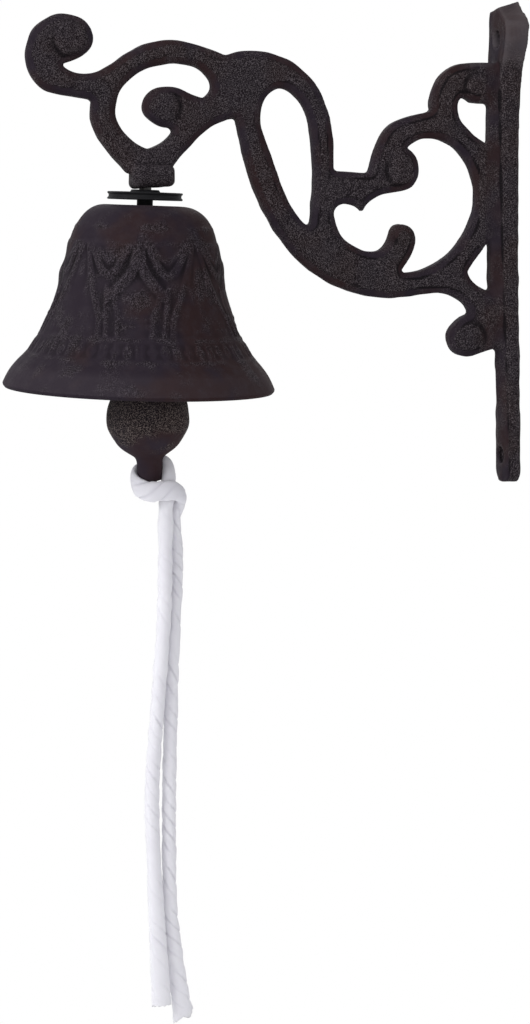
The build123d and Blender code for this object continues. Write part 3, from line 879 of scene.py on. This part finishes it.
# %% Cotton
cotton = Finish(bpy.data.materials.new("white_cotton"))
soiled = cotton.step(cotton.noise(0.012, 3.0, 0.6), 0.35, 0.75)
clean_or_soiled = cotton.blend(soiled * 0.5, (0.71, 0.70, 0.735, 1), (0.66, 0.645, 0.69, 1))
cotton.set(
    # Darker in the strands' grooves, as painted shade, and where the knot squeezes the cord.
    Base_Color=cotton.blend(cotton.own("groove") * 0.30, clean_or_soiled, (0.46, 0.44, 0.51, 1)),
    Roughness=0.92,
    Specular_IOR_Level=0.10,
    Subsurface_Weight=0.5,
    Subsurface_Radius=(0.002, 0.002, 0.002),
    Subsurface_Scale=1.0,
    Normal=cotton.bump(cotton.noise(0.0009, 2.0, 0.6), 0.00004),
)
print("cotton ready")

# %% [markdown]
# ## The rope's surface
#
# Three strands are laid together with a long twist. The cord flattens where it is pulled round the clapper,
# and it widens where its cut ends open: there its fibres part, and the cut is a little ragged. The tube's
# radius dips in a shallow groove between each two strands, and finer fibres lie along them. The frame that
# carries the section points away from a line beside the rope, so that it never flips.

# %% Rope surface
lay_pitch = 0.021
fibre_pitch = 0.0060
full_groove = 0.0006
opened_end = 0.008


def section_frame(line):
    """Three directions at each point: away from a line beside the rope, across that, and along the rope."""
    along = np.gradient(line, axis=0)
    along /= np.linalg.norm(along, axis=1)[:, None]
    beside_rope = -0.1582 + 0.10 * np.minimum(line[:, 2] + 0.100, 0)
    away = line - np.column_stack([beside_rope, 0 * beside_rope, line[:, 2]])
    away -= (away * along).sum(axis=1)[:, None] * along
    away /= np.linalg.norm(away, axis=1)[:, None]
    return away, np.cross(along, away), along


def laid_rope(name, line, squeeze, groove_depth, cut):
    """Tube round the line. squeeze gives, for each point, how much flatter and wider the section is.

    Its radius is half the diameter, less the groove depth where the cosine of three halves of the angle,
    turned by the twist, is near zero, and plus a small ripple of fibres that wind a little the other way.
    The grooves fade in and out along the cord, as in a soft one. cut is the shape of the end: places across
    it from -1 to 1, and how many millimetres the cotton hangs lower or higher there.
    """
    turns = full_turn(60)[None, :]
    length = np.arange(len(line))[:, None] * rope_step
    away, side, along = section_frame(line)
    loose = 0.6 * wave_noise(line, 0.03, seed=7)[:, None]
    strand = np.abs(np.cos(1.5 * (turns + 2 * np.pi * length / lay_pitch) + loose))
    patchy = wave_noise(line, 0.011, seed=21)[:, None]
    shown = np.clip(groove_depth[:, None] / full_groove * (0.8 + 0.6 * patchy), 0, 1)
    groove = shown * ramp(strand, 0.55, 0) ** 1.3
    fibres = np.sin(22 * turns - 2 * np.pi * length / fibre_pitch + 2 * loose)
    opened = ramp(length[-1] - length, opened_end, 0) ** 2
    size = rope_diameter / 2 + 0.00005 - full_groove * groove + (0.00003 + 0.00014 * opened) * fibres
    size = size + 0.00012 * wave_noise(line, 0.007, seed=3)[:, None]
    out = (size * np.cos(turns) * (1 - squeeze[:, None]))[..., None] * away[:, None]
    out = out + (size * np.sin(turns) * (1 + squeeze[:, None]))[..., None] * side[:, None]
    hang = np.interp(np.cos(turns), cut[0], cut[1]) + 0.25 * np.sin(11 * turns)
    out = out + (0.001 * hang * opened)[..., None] * along[:, None]
    mesh = grid_mesh(name, line[:, None] + out, round_columns=True, capped=True)
    # The groove number: painted shade in the grooves, plus the knot's squeeze.
    store_number(mesh, "groove", groove + 1.2 * squeeze[:, None])
    return add_object(name, mesh, cotton.owner)


def pulled(line, amount, firm_until, free_from, at_end):
    """Squeeze along the rope: the amount in the knot, none on the free tail, and wider again near the end.

    The tail widens by a quarter from six to two centimetres before its end, and by at_end more over the last
    twelve millimetres.
    """
    length = np.arange(len(line)) * rope_step
    to_end = length[-1] - length
    at_knot = amount * ramp(length, free_from, firm_until)
    return at_knot - 0.24 * ramp(to_end, 0.06, 0.02) - at_end * ramp(to_end, 0.012, 0) ** 2


left_rope = laid_rope("rope_left_half", left_line, pulled(left_line, 0.38, 0.036, 0.056, 0.24),
                      np.full(len(left_line), 0.00050),
                      [(-1.0, -0.45, 0.0, 0.55, 0.8, 1.0), (1.6, 0.2, -0.6, 0.9, -1.4, -2.6)])
right_rope = laid_rope("rope_right_half", right_line, pulled(right_line, 0.02, 0.018, 0.034, 0.16),
                       np.linspace(0.00010, 0.00035, len(right_line)),
                       [(-1.0, -0.8, 1.0), (0.3, 0.0, 0.1)])
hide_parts("rope_knot", "rope_tail_right")
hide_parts("rope_tail_left")
for rope in (left_rope, right_rope):
    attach(rope, "clapper")
print("rope tubes", len(left_rope.data.polygons), len(right_rope.data.polygons), "faces")

# %% [markdown]
# ## Floor and sky
#
# The photograph shows the bell alone on white. A wide pale floor lies well below the rope, and to the camera
# it and the sky are plain white, though they light the bell only softly. A Light Path node tells which rays
# the camera sends, and mixes plain white in for those. Near the object the floor keeps its own shading.

# %% Floor and sky
plain_white = (1, 1, 1, 1)


def white_to_camera(finish, white, share=1.0):
    """Shows white to camera, mirror and glass rays, and the finish's own shader to every other ray.

    share is how much of it is white, from 0 to 1.
    """
    camera_ray, mirror_ray, glass_ray = (
        finish.node("ShaderNodeLightPath", {}, {}, f"Is {kind} Ray")
        for kind in ("Camera", "Glossy", "Transmission"))
    seen = camera_ray.maths("MAXIMUM", mirror_ray).maths("MAXIMUM", glass_ray)
    lit = finish.shader.outputs[0]
    surface = lit.links[0].to_socket
    mixed = finish.node("ShaderNodeMixShader", {}, {0: seen * share, 1: Signal(finish, lit), 2: white})
    finish.feed(surface, mixed)


bpy.context.scene.world = bpy.data.worlds.new("studio")
sky = Finish(bpy.context.scene.world, "Background")
sky.set(Color=(0.95, 0.97, 1.0, 1), Strength=0.50)
white_sky = sky.node("ShaderNodeBackground", {}, {"Color": plain_white, "Strength": 1.0})
white_to_camera(sky, white_sky)

floor_level = -0.50
floor_size = 3.0
floor_middle = (-0.11, 0.0, floor_level)
corners = floor_size * np.array([(-1, -1), (1, -1), (1, 1), (-1, 1)])
floor_mesh = bpy.data.meshes.new("floor")
floor_mesh.from_pydata(np.column_stack([corners, np.full(4, floor_level)]), [], [(0, 1, 2, 3)])
pale = Finish(bpy.data.materials.new("pale_floor"))
pale.set(Base_Color=(0.86, 0.86, 0.86, 1), Roughness=0.8, Specular_IOR_Level=0.1)
from_middle = pale.node("ShaderNodeVectorMath", {"operation": "SUBTRACT"}, {0: pale.place, 1: floor_middle})
distance = pale.node("ShaderNodeVectorMath", {"operation": "LENGTH"}, {0: from_middle}, "Value")
white_floor = pale.node("ShaderNodeEmission", {}, {"Color": plain_white})
white_to_camera(pale, white_floor, pale.step(distance, 0.22, 0.42))
floor = add_object("floor", floor_mesh, pale.owner)
print("floor at", floor_level)

# %% [markdown]
# ## Lamps
#
# The light is soft, as in a studio: a large lamp high on the left does most, a weak one in front and one on
# the right fill the shadows, and one high behind draws the upper edges. Each is a square, because the larger
# a lamp is, the softer the edges of its shadows.

# %% Lamps
object_middle = (-0.11, 0.0, -0.02)


def soft_lamp(name, place, size, power):
    """Square lamp at a place, turned to the middle of the object."""
    data = bpy.data.lights.new(name, "AREA")
    data.shape = "SQUARE"
    data.size = size
    data.energy = power
    lamp = bpy.data.objects.new(name, data)
    lamp.location = place
    lamp.rotation_euler = (Vector(object_middle) - Vector(place)).to_track_quat("-Z", "Y").to_euler()
    bpy.context.scene.collection.objects.link(lamp)
    return lamp


lamps = [
    soft_lamp("high_left", (-1.30, -0.55, 0.85), 0.9, 18.0),
    soft_lamp("front", (-0.55, -1.45, 0.10), 0.9, 5.0),
    soft_lamp("right_edge", (1.30, -0.30, 0.35), 0.8, 4.0),
    soft_lamp("high_back", (0.10, 1.10, 1.20), 1.0, 10.0),
]
print(len(lamps), "lamps of", sum(lamp.data.energy for lamp in lamps), "watts in all")
